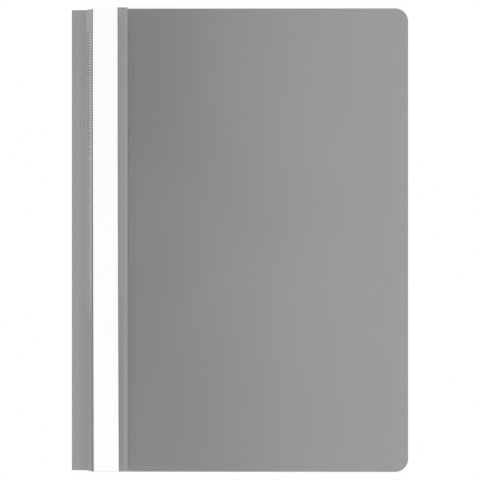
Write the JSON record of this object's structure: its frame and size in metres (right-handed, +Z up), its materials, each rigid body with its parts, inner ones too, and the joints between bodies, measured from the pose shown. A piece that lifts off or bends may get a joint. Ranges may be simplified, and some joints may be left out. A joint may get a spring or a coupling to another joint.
{
  "type": "fastener folder",
  "caption": "A4 report folder with a clear hinged front cover, a title strip pocket, an opaque grey back cover and a two-prong metal fastener under a compressor bar.",
  "frame": {"origin": "under the middle of the closed folder, on the surface that it lies on", "axes": "+Y along the spine towards the top of the pages, +X from the spine to the open edge, +Z up out of the front cover"},
  "size_m": [0.225, 0.3104, 0.0036],
  "materials": {
    "grey_film": "fine grained polypropylene film",
    "clear_film": "clear polypropylene film",
    "paper": "plain white paper",
    "steel": "tinned steel strip",
    "moulded_plastic": "moulded plastic"
  },
  "bodies": {
    "back": {"back_cover": "grey_film", "fastener_tongue": "steel", "compressor_bar": "moulded_plastic"},
    "front": {"front_cover": "clear_film", "label_backing": "grey_film", "label_insert": "paper"}
  },
  "joints": [
    {"name": "front_cover_open", "type": "hinge", "parent": "back", "child": "front", "pos_m": [-0.0984, 0, 0.00345], "axis": [0, -1, 0], "range_deg": [0, 180]}
  ]
}
